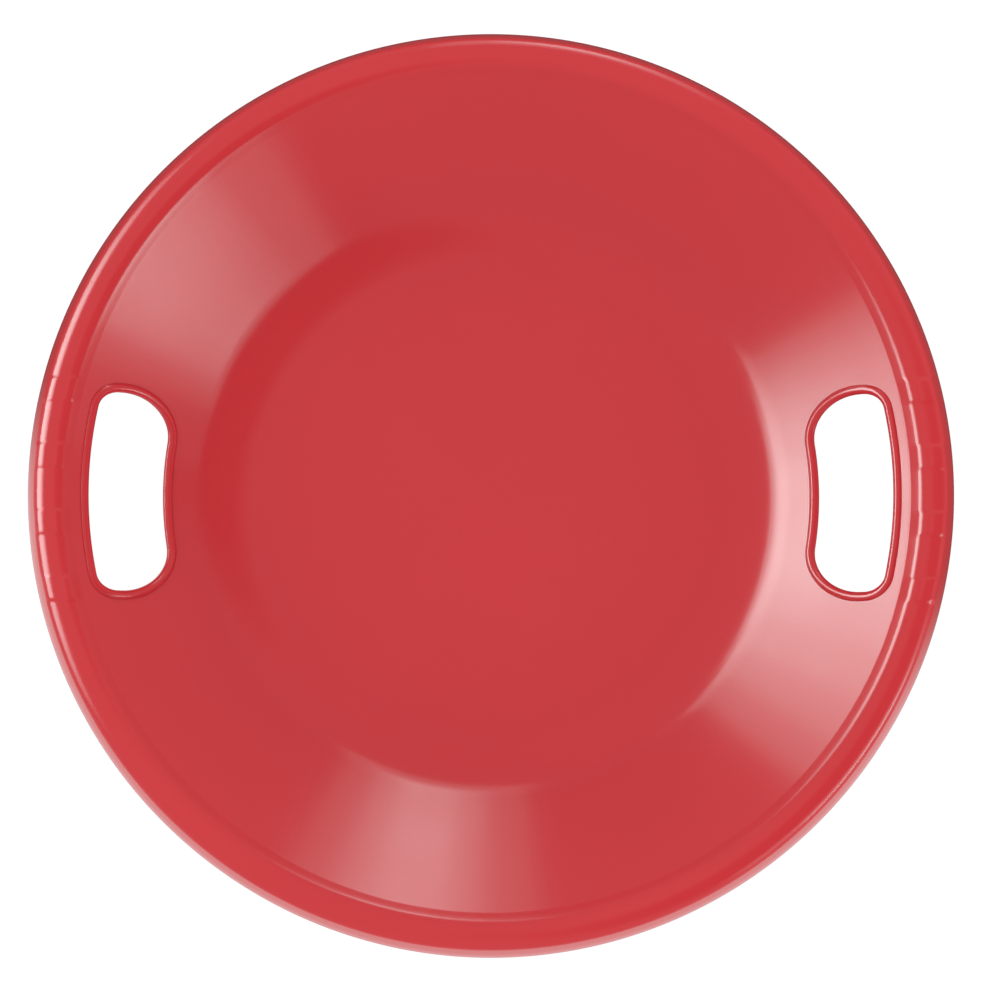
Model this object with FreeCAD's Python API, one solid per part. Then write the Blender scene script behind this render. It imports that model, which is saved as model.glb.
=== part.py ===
import FreeCAD, Part
import math
import os

from FreeCAD import Vector

# Saucer sled: a moulded dish with a turned-down rim, two hand openings and a round
# push-on bead lining each opening. Millimetres and degrees, +Z up, with the origin
# under the middle of the floor. The hand openings lie on the X axis.

# Dish: a flat floor, a wide bend and a straight sloping wall
sled_diameter = 660.0
shell_thickness = 3.0
bend_radius = 70.0
wall_slope = 41.5
wall_plan_width = 79.0

# Rim: a step up from the wall and a band that rolls over into a flared skirt
rim_plan_width = 33.0
step_height = 8.2
step_slope = 47.0
step_foot_radius = 1.5
band_inner_radius = 10.0
band_outer_radius = 18.4
skirt_height = 22.0
skirt_draft = 16.0
skirt_edge_radius = 1.0

# Hand opening in the wall, in plan, as the hand finds it inside the bead
opening_to_step = 11.5
opening_to_bend = 20.0
opening_length = 141.4
opening_inner_corner_radius = 28.5
opening_outer_corner_radius = 14.0
opening_corner_room_share = 0.9

# Bead round the opening: a split round that grips the cut edge of the shell
bead_diameter = 7.0
bead_raise = 0.8
bead_web = 2.6
bead_clearance = 0.2

# Finger ridges across the rim beside each opening, higher towards the outside
ridge_count = 4
ridge_pitch = 47.3
ridge_length = 18.5
ridge_ramp = 3.5
ridge_height = 1.3
ridge_inner_height_share = 0.35
ridge_lean_share = 0.4
ridge_root_depth = 0.3
ridge_step_end_share = 0.3
ridge_skirt_end_share = 0.6

# Shared working values
cut_overrun = 5.0
largest_rounding_share = 0.98
straight_angle = 1e-6

axis = Vector(0, 0, 1)
centre = Vector(0, 0, 0)


def section_point(radius, height):
    """A point of the dish's half section, which stands in the XZ plane."""
    return Vector(radius, 0, height)


def heading(start, end):
    return (end - start).normalize()


def along(start, end, share):
    return start + (end - start) * share


def under_side(direction):
    """The side of a run of the upper skin on which the plastic lies."""
    return Vector(direction.z, 0, -direction.x)


def offset_corners(points, depth):
    """Corners of an open run of straight lines moved sideways, into the plastic."""
    corners = [points[0] + under_side(heading(points[0], points[1])) * depth]
    for before, corner, after in zip(points, points[1:], points[2:]):
        side_in = under_side(heading(before, corner))
        side_out = under_side(heading(corner, after))
        corners.append(corner + (side_in + side_out) * (depth / (1 + side_in.dot(side_out))))
    corners.append(points[-1] + under_side(heading(points[-2], points[-1])) * depth)
    return corners


def corner_half_angle(before, corner, after):
    return heading(corner, before).getAngle(heading(corner, after)) / 2


def rounded_outline(points, radii):
    """A closed wire of straight lines with its corners rounded, as far as its sides have room."""
    corners = list(zip(points[-1:] + points, points, points[1:] + points[:1]))
    half_angles = [corner_half_angle(*corner) for corner in corners]
    setbacks = [max(radius, 0) / math.tan(angle) for radius, angle in zip(radii, half_angles)]
    fits = []
    for i, (before, corner, _) in enumerate(corners):
        room = corner.distanceToPoint(before) * largest_rounding_share
        fits.append(room / max(setbacks[i - 1] + setbacks[i], room))
    edges = []
    arcs = []
    for i, (before, corner, after) in enumerate(corners):
        setback = setbacks[i] * min(fits[i], fits[(i + 1) % len(fits)])
        back = heading(corner, before)
        ahead = heading(corner, after)
        to_middle = setback * (1 / math.cos(half_angles[i]) - math.tan(half_angles[i]))
        middle = corner + (back + ahead).normalize() * to_middle
        arcs.append((corner + back * setback, middle, corner + ahead * setback))
    for i, (start, middle, end) in enumerate(arcs):
        edges.append(Part.LineSegment(arcs[i - 1][-1], start).toShape())
        if start != end:
            edges.append(Part.Arc(start, middle, end).toShape())
    return Part.Wire(edges)


# Corners of the upper skin, before rounding, from the axis out to the skirt's lower edge
slope = math.radians(wall_slope)
rise = math.tan(slope)
sled_radius = sled_diameter / 2
wall_top_radius = sled_radius - rim_plan_width
wall_foot_radius = wall_top_radius - wall_plan_width
floor_corner_radius = wall_foot_radius - bend_radius * math.tan(slope / 2) * math.cos(slope)
wall_top_height = shell_thickness + (wall_top_radius - floor_corner_radius) * rise
band_height = wall_top_height + step_height
band_start_radius = wall_top_radius + step_height / math.tan(math.radians(step_slope))
band_end_radius = sled_radius - skirt_height * math.tan(math.radians(skirt_draft))
band_middle_radius = (band_start_radius + band_end_radius) / 2
bead_depth = shell_thickness / 2 - bead_raise

floor_middle = section_point(0, shell_thickness)
floor_corner = section_point(floor_corner_radius, shell_thickness)
step_foot = section_point(wall_top_radius, wall_top_height)
band_inner = section_point(band_start_radius, band_height)
band_outer = section_point(band_end_radius, band_height)
skirt_edge = section_point(sled_radius, band_height - skirt_height)
upper_skin = [floor_middle, floor_corner, step_foot, band_inner, band_outer, skirt_edge]


def dish_section():
    """Half section of the shell, of even thickness, closed along the axis."""
    lower_skin = offset_corners(upper_skin, shell_thickness)
    skirt_edge_width = shell_thickness / math.cos(math.radians(skirt_draft))
    lower_skin[-1] = skirt_edge - section_point(skirt_edge_width, 0)
    upper_radii = [0, bend_radius, step_foot_radius, band_inner_radius, band_outer_radius, skirt_edge_radius]
    lower_radii = [0, bend_radius + shell_thickness, step_foot_radius + shell_thickness,
                   band_inner_radius - shell_thickness, band_outer_radius - shell_thickness, skirt_edge_radius]
    outline = rounded_outline(upper_skin + lower_skin[::-1], upper_radii + lower_radii[::-1])
    return Part.Face(outline)


# Finger ridges
ridge_run = [along(step_foot, band_inner, ridge_step_end_share), band_inner, band_outer,
             along(band_outer, skirt_edge, ridge_skirt_end_share)]
ridge_root = offset_corners(ridge_run, ridge_root_depth)
ridge_inner_height = ridge_height * ridge_inner_height_share
ridge_tops = [band_inner + section_point(ridge_height * ridge_lean_share, ridge_inner_height),
              band_outer + section_point(0, ridge_height)]


def ridge_section(tops, angle):
    """Outline of a finger ridge over the rim with its two upper corners given, at one angle."""
    inset = shell_thickness / 2
    outside = ridge_root[:1] + tops + ridge_root[-1:]
    core = offset_corners(ridge_run, inset)
    outside_radii = [0, band_inner_radius, band_outer_radius, 0]
    core_radii = [0, band_inner_radius - inset, band_outer_radius - inset, 0]
    outline = rounded_outline(outside + core[::-1], outside_radii + core_radii[::-1])
    outline.rotate(centre, axis, angle)
    return outline


def finger_ridge(angle):
    """One ridge with sloped ends, centred on an angle about the sled's axis."""
    half_length = math.degrees(ridge_length / 2 / band_middle_radius)
    ramp = math.degrees(ridge_ramp / band_middle_radius)
    sections = [
        ridge_section(ridge_root[1:-1], angle - half_length),
        ridge_section(ridge_tops, angle - half_length + ramp),
        ridge_section(ridge_tops, angle + half_length - ramp),
        ridge_section(ridge_root[1:-1], angle + half_length),
    ]
    return Part.makeLoft(sections, True, True)


def finger_ridges():
    """The row of ridges beside each hand opening."""
    pitch = math.degrees(ridge_pitch / band_middle_radius)
    first = -pitch * (ridge_count - 1) / 2
    ridges = []
    for handle_angle in (0, 180):
        for i in range(ridge_count):
            ridges.append(finger_ridge(handle_angle + first + pitch * i))
    return ridges


# Hand opening: two arcs about the sled's axis joined by straight ends and round corners
opening_outer = wall_top_radius - opening_to_step
opening_inner = wall_foot_radius + opening_to_bend
both_corners = opening_inner_corner_radius + opening_outer_corner_radius
corner_room = (opening_outer - opening_inner) * opening_corner_room_share
corner_fit_share = min(1, corner_room / both_corners)


def corner_middle(corner_centre, start, end):
    """The middle of a round corner of the opening."""
    radius = corner_centre.distanceToPoint(start)
    return corner_centre + (start + end - corner_centre * 2).normalize() * radius


def opening_half(grow):
    """Plan points round one half of the right opening, grown outwards, from inner to outer arc."""
    inner = opening_inner - grow
    outer = opening_outer + grow
    end = opening_length / 2 + grow
    inner_corner = opening_inner_corner_radius * corner_fit_share + grow
    outer_corner = opening_outer_corner_radius * corner_fit_share + grow
    inner_side = end - inner_corner
    outer_side = end - outer_corner
    inner_centre = Vector(math.sqrt((inner + inner_corner) ** 2 - inner_side ** 2), inner_side, 0)
    outer_centre = Vector(math.sqrt((outer - outer_corner) ** 2 - outer_side ** 2), outer_side, 0)
    inner_arc_end = heading(centre, inner_centre) * inner
    outer_arc_end = heading(centre, outer_centre) * outer
    end_start = Vector(inner_centre.x, end, 0)
    end_stop = Vector(outer_centre.x, end, 0)
    return [
        Vector(inner, 0, 0),
        inner_arc_end,
        corner_middle(inner_centre, inner_arc_end, end_start),
        end_start,
        end_stop,
        corner_middle(outer_centre, end_stop, outer_arc_end),
        outer_arc_end,
        Vector(outer, 0, 0),
    ]


def opening_prism(grow):
    """An upright block with the right opening's plan outline, through the whole height."""
    half = opening_half(grow)
    inner, inner_end, inner_turn, end_start, end_stop, outer_turn, outer_end, outer = half
    other = [Vector(point.x, -point.y, 0) for point in half]
    _, other_inner_end, other_inner_turn, other_start, other_stop, other_outer_turn, other_outer_end, _ = other
    edges = [
        Part.Arc(other_inner_end, inner, inner_end),
        Part.Arc(inner_end, inner_turn, end_start),
        Part.LineSegment(end_start, end_stop),
        Part.Arc(end_stop, outer_turn, outer_end),
        Part.Arc(outer_end, outer, other_outer_end),
        Part.Arc(other_outer_end, other_outer_turn, other_stop),
        Part.LineSegment(other_stop, other_start),
        Part.Arc(other_start, other_inner_turn, other_inner_end),
    ]
    outline = Part.Wire([edge.toShape() for edge in edges])
    outline.translate(axis * -cut_overrun)
    return Part.Face(outline).extrude(axis * (band_height + cut_overrun * 2))


def saucer_shell():
    """The moulding: the dish turned about its axis, cut for the hands and ridged for the fingers."""
    dish = dish_section().revolve(centre, axis, 360)
    right_cut = opening_prism(bead_web)
    left_cut = right_cut.rotated(centre, axis, 180)
    return dish.cut([right_cut, left_cut]).fuse(finger_ridges())


# Bead: its centre line lies in the wall's thickness, as smooth arcs
def on_wall(plan_point):
    """The point above a plan point, at the depth of the bead's middle under the wall's upper skin."""
    drop = bead_depth / math.cos(slope)
    past_top = math.hypot(plan_point.x, plan_point.y) - wall_top_radius
    return plan_point + axis * (wall_top_height - drop + past_top * rise)


def wall_tangent(plan_point, plan_direction):
    """A plan direction laid onto the wall's slope."""
    outward = heading(centre, plan_point)
    return (plan_direction + axis * (rise * outward.dot(plan_direction))).normalize()


def tangent_arc(start, tangent, end):
    """An arc from start to end that leaves start along the tangent."""
    turn = tangent.getAngle(end - start)
    if turn < straight_angle:
        return Part.LineSegment(start, end).toShape()
    sideways = (tangent - heading(start, end) * math.cos(turn)).normalize()
    bulge = start.distanceToPoint(end) / 2 * math.tan(turn / 2)
    return Part.Arc(start, (start + end) / 2 + sideways * bulge, end).toShape()


def biarc(start, start_tangent, end, end_tangent):
    """Two arcs that meet smoothly and keep both end directions."""
    gap = end - start
    onward = gap.dot(start_tangent + end_tangent)
    spread = 2 * (1 - start_tangent.dot(end_tangent))
    reach = gap.dot(gap) / (math.sqrt(onward ** 2 + spread * gap.dot(gap)) + onward)
    joint = (start + end + (start_tangent - end_tangent) * reach) / 2
    return [tangent_arc(start, start_tangent, joint), tangent_arc(end, -end_tangent, joint)]


def bead_path():
    """Half of the bead's centre line, from the middle of the inner arc to that of the outer."""
    half = opening_half(bead_diameter / 2)
    inner, inner_end, inner_turn, end_start, end_stop, outer_turn, outer_end, outer = half
    outward = Vector(1, 0, 0)
    directions = [
        axis.cross(inner),
        axis.cross(inner_end),
        end_start - inner_end,
        outward,
        outward,
        outer_end - end_stop,
        outer_end.cross(axis),
        outer.cross(axis),
    ]
    stations = [(on_wall(point), wall_tangent(point, way)) for point, way in zip(half, directions)]
    edges = []
    for (start, start_tangent), (end, end_tangent) in zip(stations, stations[1:]):
        edges += biarc(start, start_tangent, end, end_tangent)
    return Part.Wire(Part.sortEdges(edges)[0])


def wall_layer():
    """The space that the wall takes up around the bead, with the bead's clearance on both faces."""
    reach = bead_diameter * 2
    ends = [section_point(radius, wall_top_height + (radius - wall_top_radius) * rise)
            for radius in (opening_inner - reach, opening_outer + reach)]
    above = offset_corners(ends, -bead_clearance)
    below = offset_corners(ends, shell_thickness + bead_clearance)
    outline = Part.makePolygon(above + below[::-1] + above[:1])
    return Part.Face(outline).revolve(centre, axis, 360)


def hand_hole_trim():
    """The bead of the right opening: a round, split where it takes the shell's cut edge."""
    path = bead_path()
    across = Vector(0, 1, 0)
    start = on_wall(section_point(opening_inner - bead_diameter / 2, 0))
    round_section = Part.Wire(Part.Circle(start, across, bead_diameter / 2).toShape())
    half = path.makePipeShell([round_section], True, False)
    ring = half.fuse(half.mirror(centre, across))
    slot = wall_layer().cut(opening_prism(bead_web - bead_clearance))
    return ring.cut(slot)


os.makedirs("parts", exist_ok=True)
right_trim = hand_hole_trim()
parts = {
    "saucer_shell": saucer_shell(),
    "right_hand_hole_trim": right_trim,
    "left_hand_hole_trim": right_trim.rotated(centre, axis, 180),
}
for name, shape in parts.items():
    shape.exportStep(f"parts/{name}.step")
    print(f"{name}: {len(shape.Solids)} solid, valid {shape.isValid()}, {shape.Volume / 1000:.2f} cubic cm")
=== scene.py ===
import math

import bmesh
import bpy
from bpy.props import FloatProperty, FloatVectorProperty, IntProperty, PointerProperty
from mathutils import Matrix, Vector


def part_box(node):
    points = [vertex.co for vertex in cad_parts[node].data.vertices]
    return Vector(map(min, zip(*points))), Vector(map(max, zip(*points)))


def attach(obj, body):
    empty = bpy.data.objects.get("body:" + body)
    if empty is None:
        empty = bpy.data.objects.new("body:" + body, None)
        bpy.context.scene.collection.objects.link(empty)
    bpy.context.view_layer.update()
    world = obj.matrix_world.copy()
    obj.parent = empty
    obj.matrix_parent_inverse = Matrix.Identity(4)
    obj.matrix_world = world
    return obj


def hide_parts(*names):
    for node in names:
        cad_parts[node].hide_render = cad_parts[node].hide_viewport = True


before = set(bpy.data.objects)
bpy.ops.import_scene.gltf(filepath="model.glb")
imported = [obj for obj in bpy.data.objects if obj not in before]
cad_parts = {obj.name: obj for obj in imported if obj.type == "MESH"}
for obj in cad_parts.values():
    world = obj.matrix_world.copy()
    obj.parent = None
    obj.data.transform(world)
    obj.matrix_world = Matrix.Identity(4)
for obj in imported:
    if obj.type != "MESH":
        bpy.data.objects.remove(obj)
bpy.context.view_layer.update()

bl_info = {
    "name": "Saucer Sled",
    "version": (1, 0, 0),
    "blender": (4, 5, 0),
    "location": "3D View > Sidebar > Sled",
    "description": "Models a moulded saucer sled with beaded hand openings and sets up its studio",
    "category": "Add Mesh",
}

SHELL_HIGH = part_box("saucer_shell")[1]
RIM_HEIGHT = SHELL_HIGH[2]
UP = Vector((0, 0, 1))
CENTRE = Vector((0, 0, 0))

# Fineness of the meshes
MERGE_DISTANCE = 1e-5
SHARP_ANGLE = math.radians(35)
SECTION_ARC_STEPS = [0, 13, 5, 3, 9, 18, 3, 0]  # round each corner of the dish's section
SECTION_RUN_PARTS = [4, 1, 1, 2, 1, 1, 2]  # of each straight run between the corners
HANDLE_SPAN = math.radians(40)
HANDLE_STEPS = 240
PLAIN_STEPS = 130
SKIRT_EDGE_ANGLE = math.radians(60)
SKIRT_EDGE_SEGMENTS = 3
ROUND_PROFILE = 0.5
INNER_ARC_STEPS = 24
INNER_CORNER_STEPS = 24
OPENING_END_PARTS = 3
OUTER_CORNER_STEPS = 16
OUTER_ARC_STEPS = 28
BEAD_RESOLUTION = 8


# Sizes and colours
def length_property(name, description, default):
    return FloatProperty(name=name, description=description, default=default, min=0, unit="LENGTH",
                         precision=4)


def angle_property(name, description, degrees):
    return FloatProperty(name=name, description=description, default=math.radians(degrees), subtype="ANGLE")


def share_property(name, description, default):
    return FloatProperty(name=name, description=description, default=default, min=0, max=1, subtype="FACTOR")


def colour_property(name, description, default):
    return FloatVectorProperty(name=name, description=description, default=default, size=3, min=0, max=1,
                               subtype="COLOR")


class SledShellSizes(bpy.types.PropertyGroup):
    """Section of the moulded dish, from its floor out to the lower edge of its skirt."""

    diameter: length_property("Diameter", "Across the skirt's lower edge", 2 * SHELL_HIGH[0])
    thickness: length_property("Thickness", "Wall of the moulding", 0.003)
    bend_radius: length_property("Bend radius", "Bend between the floor and the wall", 0.070)
    wall_slope: angle_property("Wall slope", "Wall above the horizontal", 41.5)
    wall_bow: angle_property("Wall bow", "How much flatter its foot and steeper its top are", 1.5)
    wall_width: length_property("Wall width", "Wall between the bend and the step, in plan", 0.079)
    rim_width: length_property("Rim width", "From the wall's top to the skirt's edge, in plan", 0.0327)
    step_height: length_property("Step height", "Rise from the wall to the rim's band", 0.0082)
    step_slope: angle_property("Step slope", "Step above the horizontal", 46.5)
    step_foot_radius: length_property("Step foot radius", "Inside corner at the wall's top", 0.0012)
    band_inner_radius: length_property("Band inner radius", "Rounding of the band's inner edge", 0.0115)
    roll_radius: length_property("Roll radius", "Roll of the band down to the skirt", 0.0168)
    roll_slope: angle_property("Roll slope", "How far the band rolls over before the skirt", 46.0)
    roll_drop: length_property("Roll drop", "Drop of that roll from the band", 0.0054)
    skirt_corner: length_property("Skirt corner", "Rounding where the roll meets the skirt", 0.0012)
    skirt_height: length_property("Skirt height", "Drop of the skirt's edge from the band", 0.022)
    skirt_draft: angle_property("Skirt draft", "Flare of the skirt from the vertical", 21.8)
    skirt_edge_rounding: length_property("Skirt edge", "Rounding of the skirt's lower edge", 0.001)


class HandOpeningSizes(bpy.types.PropertyGroup):
    """Hand openings in the wall and the split round bead that lines each of them."""

    to_step: length_property("To step", "Wall left between the opening and the step, in plan", 0.0115)
    to_bend: length_property("To bend", "Wall left between the opening and the bend, in plan", 0.0200)
    length: length_property("Length", "Along the rim", 0.1414)
    inner_corner: length_property("Inner corners", "Radius of the two corners towards the floor", 0.0285)
    outer_corner: length_property("Outer corners", "Radius of the two corners towards the rim", 0.014)
    bead_diameter: length_property("Bead diameter", "Round section of the trim", 0.007)
    bead_raise: length_property("Bead raise", "Bead's middle over the middle of the wall", 0.0008)
    bead_web: length_property("Bead web", "Bead between the opening and the shell's cut edge", 0.0026)


class FingerRidgeSizes(bpy.types.PropertyGroup):
    """Raised ridges across the rim beside each hand opening."""

    count: IntProperty(name="Count", description="Ridges beside each opening", default=4, min=0)
    pitch: length_property("Pitch", "From ridge to ridge, along the opening", 0.0470)
    length: length_property("Length", "Along the opening, with both ramps", 0.0195)
    ramp: length_property("Ramp", "Slope at each end of a ridge", 0.0028)
    height: length_property("Height", "Rise over the band's outer edge", 0.0014)
    inner_height: length_property("Inner height", "Rise over the band's inner edge", 0.0010)
    inner_setback: length_property("Inner setback", "How far a ridge stands back from that edge", 0.0005)
    inner_share: share_property("Inner share", "How far across the band that edge's change reaches", 0.3)
    skirt_share: share_property("Skirt share", "How far down the skirt a ridge fades out", 0.6)


class SledFinish(bpy.types.PropertyGroup):
    """Colours and surface of the moulded plastic."""

    shell_colour: colour_property("Shell colour", "Plastic of the moulding", (0.60, 0.0325, 0.0395))
    trim_colour: colour_property("Trim colour", "Plastic of the beads", (0.58, 0.0305, 0.0375))
    shell_roughness: share_property("Shell roughness", "Satin gloss of the moulding", 0.16)
    trim_roughness: share_property("Trim roughness", "Gloss of the beads", 0.14)
    grain_size: length_property("Grain size", "Fine texture left by the mould", 0.0011)
    grain_depth: length_property("Grain depth", "Depth of that texture", 0.000006)


class StudioSettings(bpy.types.PropertyGroup):
    """Camera and lights."""

    camera_elevation: angle_property("Camera elevation", "Above the horizontal, from the front", 86.0)
    camera_distance: length_property("Camera distance", "From the point that the camera looks at", 2.2)
    camera_roll: angle_property("Camera roll", "Turn of the picture", 0.13)
    framing_scale: FloatProperty(name="Framing scale", description="Pixels per metre at the rim",
                                 default=1420.5)
    aim_drop: length_property("Aim drop", "How far in front of the axis the camera looks", 0.0078)
    world_strength: FloatProperty(name="World strength", description="Even light from all round",
                                  default=1.05)
    gloss_strength: FloatProperty(name="Gloss strength", description="The room as it shows in gloss",
                                  default=0.45)
    floor_shadow: share_property("Floor shadow", "How strongly the pale floor shows a shadow", 0.06)


# Mesh helpers
def first_vert(geometry):
    return next(item for item in geometry if isinstance(item, bmesh.types.BMVert))


def run_to(bm, tip, point, parts):
    """Extrude a straight run of edges from a vertex to a point."""
    start = tip.co.copy()
    for i in range(parts):
        tip = bmesh.ops.extrude_vert_indiv(bm, verts=[tip])["verts"][0]
        tip.co = start.lerp(point, (i + 1) / parts)
    return tip


def turn_about(bm, tip, pivot, angle, axis, steps):
    """Spin a vertex into an arc of edges."""
    spun = bmesh.ops.spin(bm, geom=[tip], cent=pivot, axis=axis, angle=angle, steps=steps,
                          use_duplicate=False)
    return first_vert(spun["geom_last"])


def rounded_run(bm, corners, radii, arc_steps, run_parts):
    """Draw an open run of straight lines with its inner corners rounded."""
    tip = bm.verts.new(corners[0])
    for i in range(1, len(corners) - 1):
        corner = corners[i]
        ahead_in = (corner - corners[i - 1]).normalized()
        ahead_out = (corners[i + 1] - corner).normalized()
        turn = ahead_in.angle(ahead_out)
        setback = radii[i] * math.tan(turn / 2)
        tip = run_to(bm, tip, corner - ahead_in * setback, run_parts[i - 1])
        pivot = corner + (ahead_out - ahead_in).normalized() * (radii[i] / math.cos(turn / 2))
        tip = turn_about(bm, tip, pivot, turn, ahead_in.cross(ahead_out), arc_steps[i])
    run_to(bm, tip, corners[-1], run_parts[-1])


def smoothstep(low, high, value):
    share = min(max((value - low) / (high - low), 0), 1)
    return share * share * (3 - 2 * share)


def to_object(bm, name, material):
    """Write a bmesh to a new object at the origin."""
    mesh = bpy.data.meshes.new(name)
    bm.to_mesh(mesh)
    bm.free()
    mesh.materials.append(material)
    piece = bpy.data.objects.new(name, mesh)
    bpy.context.scene.collection.objects.link(piece)
    return piece


def subtract(piece, cutters):
    """Cut pieces out of a mesh for good."""
    for cutter in cutters:
        cut = piece.modifiers.new(cutter.name, "BOOLEAN")
        cut.operation = "DIFFERENCE"
        cut.solver = "EXACT"
        cut.object = cutter
    evaluated = piece.evaluated_get(bpy.context.evaluated_depsgraph_get())
    mesh = bpy.data.meshes.new_from_object(evaluated)
    piece.modifiers.clear()
    piece.data = mesh


def shade_smooth(piece):
    """Shade a piece smooth apart from its sharp edges."""
    piece.data.shade_smooth()
    piece.data.set_sharp_from_angle(angle=SHARP_ANGLE)


# Shell
BOW_SHARE = 0.96  # of the half wall, taken up by the bow's rounding


def dish_corners(shell):
    """Corners of the upper skin before rounding, from the middle out to the skirt's lower edge."""
    edge_radius = shell.diameter / 2
    wall_top_radius = edge_radius - shell.rim_width
    bend_setback = shell.bend_radius * math.tan(shell.wall_slope / 2)
    wall_rise_width = shell.wall_width + bend_setback * math.cos(shell.wall_slope)
    wall_top = shell.thickness + wall_rise_width * math.tan(shell.wall_slope)
    wall_middle_radius = wall_top_radius - shell.wall_width / 2
    wall_middle = wall_top - shell.wall_width / 2 * math.tan(shell.wall_slope + shell.wall_bow)
    foot_width = (wall_middle - shell.thickness) / math.tan(shell.wall_slope - shell.wall_bow)
    floor_radius = wall_middle_radius - foot_width
    band = wall_top + shell.step_height
    band_inner = wall_top_radius + shell.step_height / math.tan(shell.step_slope)
    skirt_top = edge_radius - (shell.skirt_height - shell.roll_drop) * math.tan(shell.skirt_draft)
    band_outer = skirt_top - shell.roll_drop / math.tan(shell.roll_slope)
    return [
        Vector((0, 0, shell.thickness)),
        Vector((floor_radius, 0, shell.thickness)),
        Vector((wall_middle_radius, 0, wall_middle)),
        Vector((wall_top_radius, 0, wall_top)),
        Vector((band_inner, 0, band)),
        Vector((band_outer, 0, band)),
        Vector((skirt_top, 0, band - shell.roll_drop)),
        Vector((edge_radius, 0, band - shell.skirt_height)),
    ]


def draw_dish_section(bm, shell):
    """Draw the upper skin's section with its corners rounded."""
    wall_radius = BOW_SHARE * shell.wall_width / 2 / math.cos(shell.wall_slope) / math.tan(shell.wall_bow)
    radii = [0, shell.bend_radius, wall_radius, shell.step_foot_radius, shell.band_inner_radius,
             shell.roll_radius, shell.skirt_corner, 0]
    rounded_run(bm, dish_corners(shell), radii, SECTION_ARC_STEPS, SECTION_RUN_PARTS)


def turn_dish(bm):
    """Spin the section once round, with finer steps beside the hand openings."""
    start = Matrix.Rotation(-HANDLE_SPAN / 2, 3, "Z")
    bmesh.ops.rotate(bm, verts=bm.verts[:], cent=CENTRE, matrix=start)
    section = bm.verts[:] + bm.edges[:]
    for angle, steps in [(HANDLE_SPAN, HANDLE_STEPS), (math.pi - HANDLE_SPAN, PLAIN_STEPS)] * 2:
        spun = bmesh.ops.spin(bm, geom=section, cent=CENTRE, axis=UP, angle=angle, steps=steps,
                              use_duplicate=False)
        section = spun["geom_last"]
    bmesh.ops.remove_doubles(bm, verts=bm.verts[:], dist=MERGE_DISTANCE)
    bmesh.ops.recalc_face_normals(bm, faces=bm.faces[:])
    floor_face = min(bm.faces, key=lambda face: face.calc_center_median().xy.length)
    if floor_face.normal.z < 0:
        bmesh.ops.reverse_faces(bm, faces=bm.faces[:])


def ridge_share(ridges, along):
    """How far a ridge has risen, at a distance along the opening from its middle."""
    first = -ridges.pitch * (ridges.count - 1) / 2
    share = 0
    for i in range(ridges.count):
        off_middle = abs(along - first - ridges.pitch * i)
        share = max(share, 1 - smoothstep(ridges.length / 2 - ridges.ramp, ridges.length / 2, off_middle))
    return share


def raise_finger_ridges(bm, shell, ridges):
    """Shape the ridges, which rise over both edges of the band and stand back from its inner one."""
    _, _, _, step_foot, band_inner, _, skirt_top, skirt_edge = dish_corners(shell)
    band_middle = (band_inner.x + skirt_top.x) / 2
    fade_height = skirt_top.lerp(skirt_edge, ridges.skirt_share).z
    for vert in bm.verts:
        radius = vert.co.xy.length
        if radius <= step_foot.x:
            continue
        share = ridge_share(ridges, vert.co.y)
        if share == 0:
            continue
        foot_height = step_foot.z if radius < band_middle else fade_height
        reach = smoothstep(foot_height, band_inner.z, vert.co.z)
        across = min(max((radius - band_inner.x) / (skirt_top.x - band_inner.x), 0), 1)
        inner = 1 - smoothstep(0, ridges.inner_share, across)
        outer_rise = ridges.height * across
        slide = ridges.inner_setback * inner - outer_rise * math.tan(shell.skirt_draft)
        outward = Vector((vert.co.x, vert.co.y, 0)) / radius
        vert.co += (outward * slide + UP * (outer_rise + ridges.inner_height * inner)) * share * reach


def round_skirt_edge(bm, shell):
    """Round the two corners along the skirt's lower edge."""
    edge_height = dish_corners(shell)[-1].z
    edge_loops = []
    for edge in bm.edges:
        if len(edge.link_faces) != 2 or edge.calc_face_angle() < SKIRT_EDGE_ANGLE:
            continue
        if max(vert.co.z for vert in edge.verts) < edge_height + shell.thickness:
            edge_loops.append(edge)
    bmesh.ops.bevel(bm, geom=edge_loops, offset=shell.skirt_edge_rounding, offset_type="OFFSET",
                    affect="EDGES", segments=SKIRT_EDGE_SEGMENTS, profile=ROUND_PROFILE, material=-1)


# Hand openings
def wall_height(shell, radius, depth):
    """Height of the bowed wall, taken as a parabola, at a radius and at a depth under its upper skin."""
    _, _, wall_middle, wall_top, *_ = dish_corners(shell)
    half_width = wall_top.x - wall_middle.x
    past_middle = radius - wall_middle.x
    foot_rise = math.tan(shell.wall_slope - shell.wall_bow)
    top_rise = math.tan(shell.wall_slope + shell.wall_bow)
    bow = (top_rise - foot_rise) * (past_middle ** 2 + half_width ** 2) / (4 * half_width)
    upper_skin = wall_middle.z + (foot_rise + top_rise) / 2 * past_middle + bow
    return upper_skin - depth / math.cos(shell.wall_slope)


def point_at(radius, y):
    """The point on the right at a radius from the axis."""
    return Vector((math.sqrt(radius ** 2 - y ** 2), y, 0))


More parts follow.
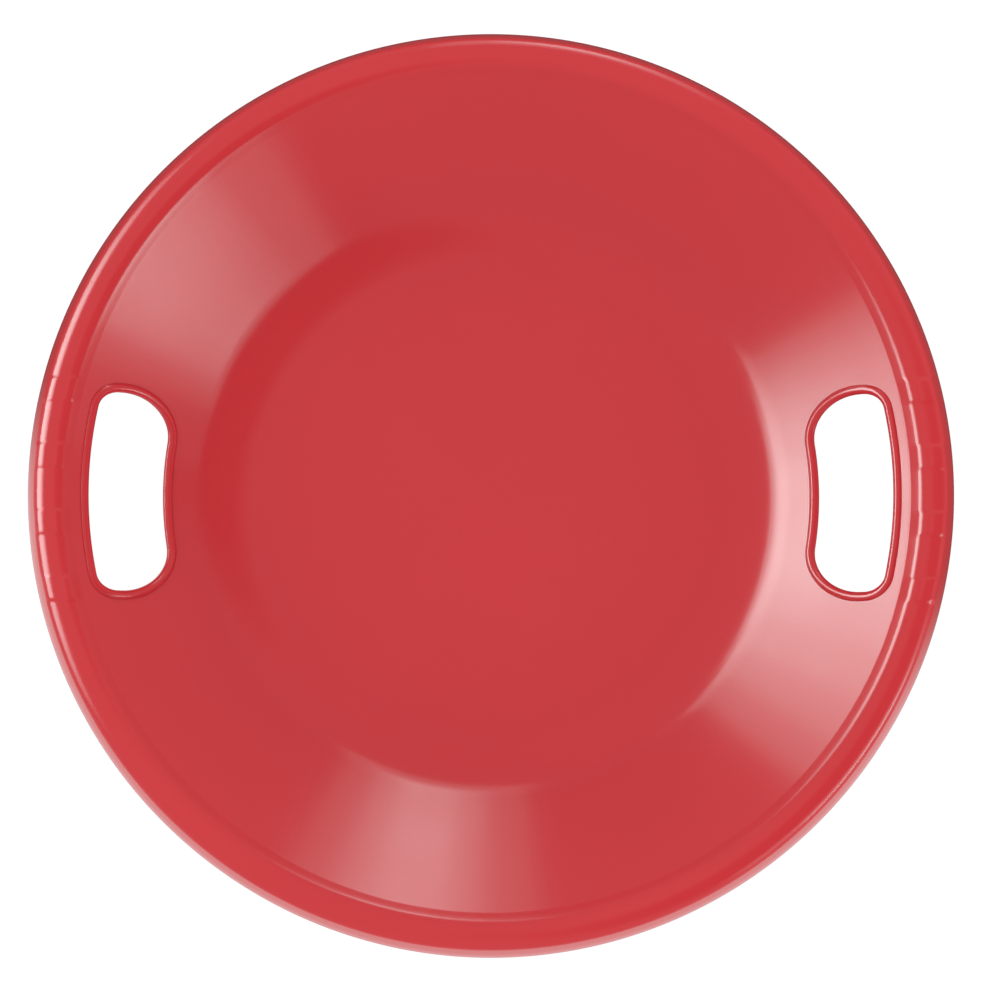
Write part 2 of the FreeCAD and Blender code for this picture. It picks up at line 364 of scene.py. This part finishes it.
def draw_opening(bm, shell, opening, grow):
    """Plan outline of the right opening, grown outwards: two arcs, straight ends, round corners."""
    wall_top_radius = shell.diameter / 2 - shell.rim_width
    inner = wall_top_radius - shell.wall_width + opening.to_bend - grow
    outer = wall_top_radius - opening.to_step + grow
    end = opening.length / 2 + grow
    inner_corner = opening.inner_corner + grow
    outer_corner = opening.outer_corner + grow
    inner_pivot = point_at(inner + inner_corner, end - inner_corner)
    outer_pivot = point_at(outer - outer_corner, end - outer_corner)
    inner_angle = math.atan2(inner_pivot.y, inner_pivot.x)
    outer_angle = math.atan2(outer_pivot.y, outer_pivot.x)
    quarter = math.pi / 2
    tip = bm.verts.new((inner, 0, 0))
    tip = turn_about(bm, tip, CENTRE, inner_angle, UP, INNER_ARC_STEPS)
    tip = turn_about(bm, tip, inner_pivot, -(quarter + inner_angle), UP, INNER_CORNER_STEPS)
    tip = run_to(bm, tip, Vector((outer_pivot.x, end, 0)), OPENING_END_PARTS)
    tip = turn_about(bm, tip, outer_pivot, -(quarter - outer_angle), UP, OUTER_CORNER_STEPS)
    turn_about(bm, tip, CENTRE, -outer_angle, UP, OUTER_ARC_STEPS)
    bmesh.ops.mirror(bm, geom=bm.verts[:] + bm.edges[:], axis="Y", merge_dist=MERGE_DISTANCE)
    bmesh.ops.remove_doubles(bm, verts=bm.verts[:], dist=MERGE_DISTANCE)


def half_turn(bm, side):
    """Take a piece made for the right side round to the left one."""
    if side < 0:
        bmesh.ops.rotate(bm, verts=bm.verts[:], cent=CENTRE, matrix=Matrix.Rotation(math.pi, 3, "Z"))


def opening_cutter(shell, opening, side, material):
    """An upright block with the outline that is cut out of the shell."""
    bm = bmesh.new()
    draw_opening(bm, shell, opening, opening.bead_web)
    half_turn(bm, side)
    face = bmesh.ops.contextual_create(bm, geom=bm.edges[:])["faces"]
    raised = bmesh.ops.extrude_face_region(bm, geom=face)["geom"]
    top = [item for item in raised if isinstance(item, bmesh.types.BMVert)]
    bmesh.ops.translate(bm, verts=top, vec=UP * RIM_HEIGHT)
    bmesh.ops.recalc_face_normals(bm, faces=bm.faces[:])
    return to_object(bm, f"opening_cutter_{side}", material)


def loop_points(bm):
    """Points of one closed loop of edges, in order."""
    start = bm.verts[0]
    edge = start.link_edges[0]
    vert = edge.other_vert(start)
    points = [start.co.copy()]
    while vert is not start:
        points.append(vert.co.copy())
        edge = next(other for other in vert.link_edges if other is not edge)
        vert = edge.other_vert(vert)
    return points


def bead(shell, opening, side, name, material):
    """A round bead whose middle follows the opening, near the middle of the wall's thickness."""
    bm = bmesh.new()
    draw_opening(bm, shell, opening, opening.bead_diameter / 2)
    half_turn(bm, side)
    bm.verts.ensure_lookup_table()
    points = loop_points(bm)
    bm.free()
    curve = bpy.data.curves.new(name, "CURVE")
    curve.dimensions = "3D"
    curve.bevel_depth = opening.bead_diameter / 2
    curve.bevel_resolution = BEAD_RESOLUTION
    spline = curve.splines.new("POLY")
    spline.points.add(len(points) - 1)
    for target, point in zip(spline.points, points):
        height = wall_height(shell, point.xy.length, shell.thickness / 2 - opening.bead_raise)
        target.co = (point.x, point.y, height, 1)
    spline.use_cyclic_u = True
    route = bpy.data.objects.new(name + "_route", curve)
    bpy.context.scene.collection.objects.link(route)
    tube = bpy.data.meshes.new_from_object(route.evaluated_get(bpy.context.evaluated_depsgraph_get()))
    bpy.data.objects.remove(route)
    bm = bmesh.new()
    bm.from_mesh(tube)
    bmesh.ops.remove_doubles(bm, verts=bm.verts[:], dist=MERGE_DISTANCE)
    bmesh.ops.recalc_face_normals(bm, faces=bm.faces[:])
    bpy.data.meshes.remove(tube)
    return to_object(bm, name, material)


# Materials
CLOUD_NOISE = {"Scale": 7, "Detail": 3}
GLOSS_NOISE = {"Scale": 38, "Detail": 2}
GRAIN_NOISE = {"Detail": 2}
NOISE_MIDDLE = 0.5
WHITE = (1, 1, 1, 1)


def add_node(tree, kind, **values):
    """A node with its inputs set by name."""
    node = tree.nodes.new(kind)
    for name, value in values.items():
        node.inputs[name].default_value = value
    return node


def math_node(tree, operation, first, second):
    """A Math node fed by sockets or plain numbers."""
    node = tree.nodes.new("ShaderNodeMath")
    node.operation = operation
    for socket, value in zip(node.inputs, (first, second)):
        if isinstance(value, (int, float)):
            socket.default_value = value
        else:
            tree.links.new(value, socket)
    return node.outputs[0]


def smooth_range(tree, value, low, high, from_value, to_value):
    """A value carried smoothly over from one range to another."""
    node = tree.nodes.new("ShaderNodeMapRange")
    node.interpolation_type = "SMOOTHSTEP"
    for socket, number in zip(node.inputs[1:5], (low, high, from_value, to_value)):
        socket.default_value = number
    tree.links.new(value, node.inputs["Value"])
    return node.outputs["Result"]


def moulded_plastic_group():
    """Shared surface of the moulded plastic: cloudy colour, uneven gloss and a fine mould grain."""
    tree = bpy.data.node_groups.get("Moulded plastic")
    if tree:
        return tree
    tree = bpy.data.node_groups.new("Moulded plastic", "ShaderNodeTree")
    sockets = [
        ("Colour", "NodeSocketColor", (0.5, 0.5, 0.5, 1)),
        ("Colour change", "NodeSocketFloat", 0.06),
        ("Roughness", "NodeSocketFloat", 0.3),
        ("Roughness change", "NodeSocketFloat", 0.05),
        ("Grain scale", "NodeSocketFloat", 900),
    ]
    for name, kind, default in sockets:
        tree.interface.new_socket(name, in_out="INPUT", socket_type=kind).default_value = default
    results = [("Colour", "NodeSocketColor"), ("Roughness", "NodeSocketFloat"), ("Grain", "NodeSocketFloat")]
    for name, kind in results:
        tree.interface.new_socket(name, in_out="OUTPUT", socket_type=kind)
    given = tree.nodes.new("NodeGroupInput").outputs
    result = tree.nodes.new("NodeGroupOutput").inputs
    place = tree.nodes.new("ShaderNodeTexCoord").outputs["Object"]

    clouds = add_node(tree, "ShaderNodeTexNoise", **CLOUD_NOISE)
    tree.links.new(place, clouds.inputs["Vector"])
    cloudiness = math_node(tree, "SUBTRACT", clouds.outputs["Fac"], NOISE_MIDDLE)
    shade = math_node(tree, "ADD", math_node(tree, "MULTIPLY", cloudiness, given["Colour change"]), 1.0)
    tint = add_node(tree, "ShaderNodeVectorMath")
    tint.operation = "SCALE"
    tree.links.new(given["Colour"], tint.inputs[0])
    tree.links.new(shade, tint.inputs["Scale"])
    tree.links.new(tint.outputs[0], result["Colour"])

    patches = add_node(tree, "ShaderNodeTexNoise", **GLOSS_NOISE)
    tree.links.new(place, patches.inputs["Vector"])
    unevenness = math_node(tree, "SUBTRACT", patches.outputs["Fac"], NOISE_MIDDLE)
    gloss = math_node(tree, "ADD", math_node(tree, "MULTIPLY", unevenness, given["Roughness change"]),
                      given["Roughness"])
    tree.links.new(gloss, result["Roughness"])

    grain = add_node(tree, "ShaderNodeTexNoise", **GRAIN_NOISE)
    tree.links.new(place, grain.inputs["Vector"])
    tree.links.new(given["Grain scale"], grain.inputs["Scale"])
    tree.links.new(grain.outputs["Fac"], result["Grain"])
    return tree


def plastic_material(name, colour, roughness, finish):
    """Moulded plastic in one colour and gloss."""
    material = bpy.data.materials.new(name)
    material.use_nodes = True
    tree = material.node_tree
    shader = tree.nodes["Principled BSDF"]
    surface = tree.nodes.new("ShaderNodeGroup")
    surface.node_tree = moulded_plastic_group()
    surface.inputs["Colour"].default_value = (*colour, 1)
    surface.inputs["Roughness"].default_value = roughness
    surface.inputs["Grain scale"].default_value = 1 / finish.grain_size
    bump = add_node(tree, "ShaderNodeBump", Distance=finish.grain_depth)
    tree.links.new(surface.outputs["Colour"], shader.inputs["Base Color"])
    tree.links.new(surface.outputs["Roughness"], shader.inputs["Roughness"])
    tree.links.new(surface.outputs["Grain"], bump.inputs["Height"])
    tree.links.new(bump.outputs["Normal"], shader.inputs["Normal"])
    return material


# Studio, with angles in degrees
PICTURE_HEIGHT = 1000  # pixels
FLOOR_HALF_SIZE = 6
FLOOR_GLOW = 1.05
PAPER_SHADE = 0.95
# Paper shade that reflections see on the back half of the floor: a painted shadow, dark paper standing in
# for the sled's shadow there
PAINTED_SHADOW_PAPER_SHADE = 0.1
MIRROR_AZIMUTH = 257  # the side where the sled mirrors the floor
MIRROR_START = -0.04  # metres from the axis towards that side
MIRROR_FULL = 0.16
CURTAIN_AZIMUTH = -25
CURTAIN_ELEVATION = 44
CURTAIN_EDGE = 46  # from the curtain's middle
CURTAIN_DARK = 24
SOFTBOX_DISTANCE = 2.2
SOFTBOX_COLOUR = (0.7, 1, 1)
MIRRORED_WHITE_POWER = 4  # watts per square metre of a light that a mirror shows at brightness 1
LEFT_BRIGHTNESS = 1.87
LEFT_TILT = 6
# Azimuth, lowest and highest elevation, width, brightness and tilt of each soft light
SOFTBOXES = {
    "left_softbox_0": (170, 10.5, 28, 22, LEFT_BRIGHTNESS, LEFT_TILT),
    "left_softbox_1": (170, 11, 40, 36, LEFT_BRIGHTNESS, LEFT_TILT),
    "left_softbox_2": (169, 11, 40, 48, LEFT_BRIGHTNESS, LEFT_TILT),
    "left_softbox_3": (168.5, 11, 33, 58, LEFT_BRIGHTNESS, LEFT_TILT),
    "left_softbox_4": (167.5, 10.5, 33.5, 69, LEFT_BRIGHTNESS, LEFT_TILT),
    "back_softbox": (79.5, 5, 15, 10, 1.6, 0),
    "back_softbox_halo": (79.5, 4, 17, 19, 1.4, 0),
    "back_softbox_fringe": (80, 4, 25, 32, 0.9, 0),
    "right_softbox": (329.5, 8.5, 15.5, 14, 1.6, 0),
    "right_softbox_halo": (328.5, 8, 16.5, 25, 2.8, 0),
    "right_softbox_fringe": (326, 8.5, 26, 40, 0.7, 0),
    "right_softbox_edge": (331, 8.5, 24, 54, 0.35, 0),
}


def add_camera(studio):
    """A camera at the picture's angle, framed for a picture of PICTURE_HEIGHT."""
    data = bpy.data.cameras.new("camera")
    data.sensor_fit = "VERTICAL"
    data.lens = data.sensor_height * studio.framing_scale * studio.camera_distance / PICTURE_HEIGHT
    camera = bpy.data.objects.new("camera", data)
    bpy.context.scene.collection.objects.link(camera)
    aim = Vector((0, -studio.aim_drop, RIM_HEIGHT))
    towards = Vector((0, -math.cos(studio.camera_elevation), math.sin(studio.camera_elevation)))
    camera.location = aim + towards * studio.camera_distance
    turn = (-towards).to_track_quat("-Z", "Y").to_matrix()
    camera.matrix_world = (Matrix.Translation(camera.location) @ turn.to_4x4()
                           @ Matrix.Rotation(studio.camera_roll, 4, "Z"))
    bpy.context.scene.camera = camera


def direction(azimuth, elevation):
    """Unit vector at an azimuth and elevation in degrees."""
    level = math.cos(math.radians(elevation))
    return Vector((level * math.cos(math.radians(azimuth)), level * math.sin(math.radians(azimuth)),
                   math.sin(math.radians(elevation))))


def add_softbox(name, azimuth, low, high, width, brightness, tilt):
    """A rectangular soft light that shows only as gloss; brightness is what a mirror would show."""
    height = high - low
    data = bpy.data.lights.new(name, "AREA")
    data.shape = "RECTANGLE"
    data.size = 2 * SOFTBOX_DISTANCE * math.tan(math.radians(width / 2))
    data.size_y = 2 * SOFTBOX_DISTANCE * math.tan(math.radians(height / 2))
    data.energy = brightness * MIRRORED_WHITE_POWER * data.size * data.size_y
    data.color = SOFTBOX_COLOUR
    light = bpy.data.objects.new(name, data)
    light.visible_diffuse = False
    bpy.context.scene.collection.objects.link(light)
    aim = Vector((0, 0, RIM_HEIGHT))
    towards = direction(azimuth, (low + high) / 2)
    light.matrix_world = (Matrix.Translation(aim + towards * SOFTBOX_DISTANCE)
                          @ (-towards).to_track_quat("-Z", "Y").to_matrix().to_4x4()
                          @ Matrix.Rotation(math.radians(tilt), 4, "Z"))


def add_floor(studio):
    """A floor that looks white and keeps the sled's shadow; in the sled's gloss only its front half shows
    white, and its back half shows a painted shadow of dark paper.
    """
    bm = bmesh.new()
    bmesh.ops.create_grid(bm, x_segments=1, y_segments=1, size=FLOOR_HALF_SIZE)
    material = bpy.data.materials.new("pale floor")
    material.use_nodes = True
    tree = material.node_tree
    tree.nodes.clear()
    forward = add_node(tree, "ShaderNodeVectorMath")
    forward.operation = "DOT_PRODUCT"
    forward.inputs[1].default_value = direction(MIRROR_AZIMUTH, 0)
    tree.links.new(tree.nodes.new("ShaderNodeTexCoord").outputs["Object"], forward.inputs[0])
    path = tree.nodes.new("ShaderNodeLightPath").outputs
    front = smooth_range(tree, forward.outputs["Value"], MIRROR_START, MIRROR_FULL, 0, 1)
    mirrored = math_node(tree, "MULTIPLY", path["Is Glossy Ray"], front)
    # Share of glossy rays that see the back half of the floor, where it carries the painted shadow
    painted_shadow_share = math_node(tree, "SUBTRACT", path["Is Glossy Ray"], mirrored)
    seen = math_node(tree, "MAXIMUM", path["Is Camera Ray"], path["Is Transmission Ray"])
    seen = math_node(tree, "MAXIMUM", seen, mirrored)
    white = math_node(tree, "MULTIPLY", seen, 1 - studio.floor_shadow)
    paper = add_node(tree, "ShaderNodeBsdfDiffuse")
    # Painted shadow: the paper turns dark where reflections see the back half of the floor
    shade = smooth_range(tree, painted_shadow_share, 0, 1, PAPER_SHADE, PAINTED_SHADOW_PAPER_SHADE)
    tree.links.new(shade, paper.inputs["Color"])
    glow = add_node(tree, "ShaderNodeEmission", Color=WHITE, Strength=FLOOR_GLOW)
    mix = tree.nodes.new("ShaderNodeMixShader")
    output = tree.nodes.new("ShaderNodeOutputMaterial")
    tree.links.new(white, mix.inputs[0])
    tree.links.new(paper.outputs[0], mix.inputs[1])
    tree.links.new(glow.outputs[0], mix.inputs[2])
    tree.links.new(mix.outputs[0], output.inputs["Surface"])
    floor = to_object(bm, "studio_floor", material)


def add_world(studio):
    """Even light all round, which the gloss shows dimmer and with a dark curtain to the right."""
    world = bpy.data.worlds.new("studio")
    world.use_nodes = True
    tree = world.node_tree
    backdrop = tree.nodes["Background"]
    backdrop.inputs["Color"].default_value = WHITE
    path = tree.nodes.new("ShaderNodeLightPath").outputs
    nearness = add_node(tree, "ShaderNodeVectorMath")
    nearness.operation = "DOT_PRODUCT"
    nearness.inputs[1].default_value = direction(CURTAIN_AZIMUTH, CURTAIN_ELEVATION)
    tree.links.new(tree.nodes.new("ShaderNodeTexCoord").outputs["Generated"], nearness.inputs[0])
    edge = math.cos(math.radians(CURTAIN_EDGE))
    dark = math.cos(math.radians(CURTAIN_DARK))
    curtain = smooth_range(tree, nearness.outputs["Value"], edge, dark, studio.gloss_strength, 0)
    mirrored = math_node(tree, "MAXIMUM", path["Is Glossy Ray"], path["Is Transmission Ray"])
    change = math_node(tree, "SUBTRACT", curtain, studio.world_strength)
    strength = math_node(tree, "ADD", math_node(tree, "MULTIPLY", mirrored, change), studio.world_strength)
    tree.links.new(strength, backdrop.inputs["Strength"])
    bpy.context.scene.world = world


# Operators
class SLED_OT_saucer_shell(bpy.types.Operator):
    """Model the moulded dish with its rim, hand openings and finger ridges"""

    bl_idname = "sled.saucer_shell"
    bl_label = "Saucer Shell"

    def execute(self, context):
        shell = context.scene.sled_shell
        opening = context.scene.sled_opening
        finish = context.scene.sled_finish
        material = plastic_material("shell_plastic_red", finish.shell_colour, finish.shell_roughness, finish)
        bm = bmesh.new()
        draw_dish_section(bm, shell)
        turn_dish(bm)
        raise_finger_ridges(bm, shell, context.scene.sled_ridges)
        bmesh.ops.solidify(bm, geom=bm.faces[:], thickness=shell.thickness)
        round_skirt_edge(bm, shell)
        piece = to_object(bm, "moulded_shell", material)
        cutters = [opening_cutter(shell, opening, side, material) for side in (1, -1)]
        subtract(piece, cutters)
        for cutter in cutters:
            bpy.data.objects.remove(cutter)
        shade_smooth(piece)
        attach(piece, "root")
        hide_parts("saucer_shell")
        return {"FINISHED"}


class SLED_OT_hand_hole_trims(bpy.types.Operator):
    """Model the split beads that line the two hand openings"""

    bl_idname = "sled.hand_hole_trims"
    bl_label = "Hand-Hole Trims"

    def execute(self, context):
        shell_piece = bpy.data.objects.get("moulded_shell")
        if shell_piece is None:
            raise RuntimeError("The shell comes first, because the beads are split by its cut edges")
        finish = context.scene.sled_finish
        material = plastic_material("trim_plastic_red", finish.trim_colour, finish.trim_roughness, finish)
        for side, hand in ((1, "right"), (-1, "left")):
            name = f"{hand}_bead_trim"
            piece = bead(context.scene.sled_shell, context.scene.sled_opening, side, name, material)
            subtract(piece, [shell_piece])
            shade_smooth(piece)
            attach(piece, "root")
            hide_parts(f"{hand}_hand_hole_trim")
        return {"FINISHED"}


class SLED_OT_studio(bpy.types.Operator):
    """Set up the pale floor, the soft lights and the camera"""

    bl_idname = "sled.studio"
    bl_label = "Studio"

    def execute(self, context):
        studio = context.scene.sled_studio
        context.scene.view_settings.view_transform = "Standard"
        add_floor(studio)
        add_world(studio)
        for name, values in SOFTBOXES.items():
            add_softbox(name, *values)
        add_camera(studio)
        return {"FINISHED"}


class SLED_PT_sidebar(bpy.types.Panel):
    """Sizes, finish and steps of the saucer sled"""

    bl_label = "Saucer Sled"
    bl_idname = "SLED_PT_sidebar"
    bl_space_type = "VIEW_3D"
    bl_region_type = "UI"
    bl_category = "Sled"

    def draw(self, context):
        for title, group in SETTINGS.items():
            box = self.layout.box()
            box.label(text=group.__doc__)
            values = getattr(context.scene, title)
            for name in group.__annotations__:
                box.prop(values, name)
        for operator in OPERATORS:
            self.layout.operator(operator.bl_idname)


SETTINGS = {
    "sled_shell": SledShellSizes,
    "sled_opening": HandOpeningSizes,
    "sled_ridges": FingerRidgeSizes,
    "sled_finish": SledFinish,
    "sled_studio": StudioSettings,
}
OPERATORS = (SLED_OT_saucer_shell, SLED_OT_hand_hole_trims, SLED_OT_studio)


def register():
    for title, group in SETTINGS.items():
        bpy.utils.register_class(group)
        setattr(bpy.types.Scene, title, PointerProperty(type=group))
    for cls in (*OPERATORS, SLED_PT_sidebar):
        bpy.utils.register_class(cls)


def unregister():
    for cls in (SLED_PT_sidebar, *reversed(OPERATORS)):
        bpy.utils.unregister_class(cls)
    for title, group in reversed(SETTINGS.items()):
        delattr(bpy.types.Scene, title)
        bpy.utils.unregister_class(group)


def main():
    register()
    bpy.ops.sled.saucer_shell()
    bpy.ops.sled.hand_hole_trims()
    bpy.ops.sled.studio()


if __name__ == "__main__":
    main()
